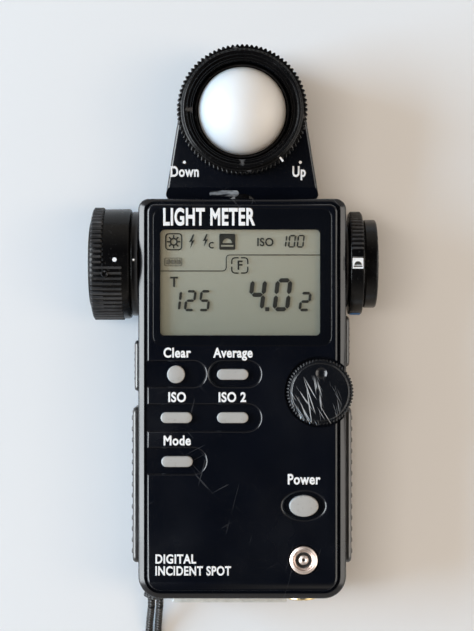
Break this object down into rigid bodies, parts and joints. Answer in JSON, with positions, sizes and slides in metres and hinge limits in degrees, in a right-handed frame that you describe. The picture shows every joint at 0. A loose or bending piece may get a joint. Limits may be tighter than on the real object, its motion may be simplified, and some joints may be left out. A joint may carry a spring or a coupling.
{
  "type": "exposure meter with incident dome and spot finder",
  "caption": "Hand-held exposure meter with a digital display, key panel, jog wheel, swivelling retractable dome head, zoom spot finder and braided wrist cord.",
  "frame": {"origin": "middle of the flat back face of the case", "axes": "+Z out of the display, +Y towards the dome head, +X towards the eyepiece"},
  "size_m": [0.084, 0.2505, 0.0397],
  "materials": {
    "case_black": "satin black moulded plastic, lightly scratched",
    "rubber_black": "matt black",
    "ring_black": "satin black",
    "window": "clear, with a dark mask behind it",
    "lcd": "olive grey display",
    "backlight": "white diffuser",
    "key_grey": "satin light grey",
    "board_green": "solder mask",
    "chip_black": "matt",
    "silicone": "matt",
    "nickel": "turned nickel plate",
    "brass": "turned",
    "steel": "plated",
    "insulator": "matt",
    "dome_white": "opal white diffuser, soft sheen",
    "lens_glass": "coated, clear",
    "photodiode": "dark window",
    "cell_jacket": "printed jacket",
    "inner_black": "matt",
    "cord_black": "braided"
  },
  "bodies": {
    "case": {"front_cover": "case_black", "rear_cover": "case_black", "display_window": "window", "lcd_glass": "lcd", "backlight_panel": "backlight", "lcd_connector": "silicone", "main_board": "board_green", "processor_chip": "chip_black", "keypad_membrane": "silicone", "power_switch": "chip_black", "jog_encoder": "chip_black", "left_grip": "rubber_black", "right_grip": "rubber_black", "sync_shell": "nickel", "sync_insulator": "insulator", "sync_contact": "nickel", "battery_tray": "inner_black", "aa_battery": "cell_jacket", "battery_contact": "nickel", "battery_spring": "steel", "case_screw_1": "steel", "case_screw_2": "steel", "case_screw_3": "steel", "case_screw_4": "steel", "tripod_bush": "brass", "strap_pin": "steel", "lens_flange": "ring_black", "front_bezel": "ring_black", "objective_lens": "lens_glass", "eyepiece_collar": "ring_black", "eyecup": "rubber_black", "eyepiece_lens": "lens_glass", "finder_tube": "inner_black", "beam_splitter": "lens_glass", "spot_photodiode": "photodiode", "strap_cord": "cord_black", "strap_hitch": "cord_black"},
    "head": {"head_rear_shell": "case_black", "head_front_shell": "case_black", "swivel_neck": "ring_black", "receptor_holder": "inner_black", "incident_photodiode": "photodiode"},
    "retract_ring": {"retract_ring": "ring_black"},
    "dome": {"lumisphere": "dome_white", "lumisphere_barrel": "ring_black"},
    "zoom_ring": {"zoom_ring": "ring_black"},
    "zoom_carrier": {"zoom_lens_carrier": "inner_black", "zoom_lens": "lens_glass"},
    "selector_ring": {"selector_ring": "ring_black"},
    "jog_wheel": {"jog_wheel": "case_black"},
    "battery_cover": {"battery_cover": "case_black"},
    "clear_key": {"clear_key": "key_grey"},
    "average_key": {"average_key": "key_grey"},
    "iso_key": {"iso_key": "key_grey"},
    "iso2_key": {"iso2_key": "key_grey"},
    "mode_key": {"mode_key": "key_grey"},
    "power_key": {"power_key": "key_grey"},
    "measuring_button": {"measuring_button": "rubber_black"},
    "memory_button": {"memory_button": "rubber_black"}
  },
  "joints": [
    {"name": "head_swivel", "type": "hinge", "parent": "case", "child": "head", "pos_m": [0, 0.06, 0.0175], "axis": [0, 1, 0], "range_deg": [-90, 180]},
    {"name": "retract_turn", "type": "hinge", "parent": "head", "child": "retract_ring", "pos_m": [0, 0.084, 0.03], "axis": [0, 0, -1], "range_deg": [0, 90]},
    {"name": "dome_slide", "type": "slide", "parent": "head", "child": "dome", "axis": [0, 0, -1], "range_m": [0, 0.009]},
    {"name": "zoom_turn", "type": "hinge", "parent": "case", "child": "zoom_ring", "pos_m": [-0.038, 0.04, 0.0175], "axis": [-1, 0, 0], "range_deg": [-60, 40]},
    {"name": "zoom_slide", "type": "slide", "parent": "case", "child": "zoom_carrier", "axis": [1, 0, 0], "range_m": [-0.006, 0.004]},
    {"name": "selector_turn", "type": "hinge", "parent": "case", "child": "selector_ring", "pos_m": [0.033, 0.04, 0.0175], "axis": [1, 0, 0], "range_deg": [0, 85]},
    {"name": "jog_turn", "type": "hinge", "parent": "case", "child": "jog_wheel", "pos_m": [0.0223, 0.0028, 0.033], "axis": [0, 0, 1], "continuous": true},
    {"name": "battery_cover_slide", "type": "slide", "parent": "case", "child": "battery_cover", "axis": [0, -1, 0], "range_m": [0, 0.012]},
    {"name": "clear_key_press", "type": "slide", "parent": "case", "child": "clear_key", "axis": [0, 0, -1], "range_m": [0, 0.0008], "stiffness_N_per_m": 150, "springref_m": -0.001},
    {"name": "average_key_press", "type": "slide", "parent": "case", "child": "average_key", "axis": [0, 0, -1], "range_m": [0, 0.0008], "stiffness_N_per_m": 150, "springref_m": -0.001},
    {"name": "iso_key_press", "type": "slide", "parent": "case", "child": "iso_key", "axis": [0, 0, -1], "range_m": [0, 0.0008], "stiffness_N_per_m": 150, "springref_m": -0.001},
    {"name": "iso2_key_press", "type": "slide", "parent": "case", "child": "iso2_key", "axis": [0, 0, -1], "range_m": [0, 0.0008], "stiffness_N_per_m": 150, "springref_m": -0.001},
    {"name": "mode_key_press", "type": "slide", "parent": "case", "child": "mode_key", "axis": [0, 0, -1], "range_m": [0, 0.0008], "stiffness_N_per_m": 150, "springref_m": -0.001},
    {"name": "power_key_press", "type": "slide", "parent": "case", "child": "power_key", "axis": [0, 0, -1], "range_m": [0, 0.0008], "stiffness_N_per_m": 150, "springref_m": -0.001},
    {"name": "measuring_button_press", "type": "slide", "parent": "case", "child": "measuring_button", "axis": [1, 0, 0], "range_m": [0, 0.0008], "stiffness_N_per_m": 150, "springref_m": -0.001},
    {"name": "memory_button_press", "type": "slide", "parent": "case", "child": "memory_button", "axis": [-1, 0, 0], "range_m": [0, 0.0008], "stiffness_N_per_m": 150, "springref_m": -0.001}
  ],
  "couplings": [
    {"joint": "dome_slide", "follows": "retract_turn", "m_per_rad": 0.005729},
    {"joint": "zoom_slide", "follows": "zoom_turn", "m_per_rad": 0.0057}
  ]
}
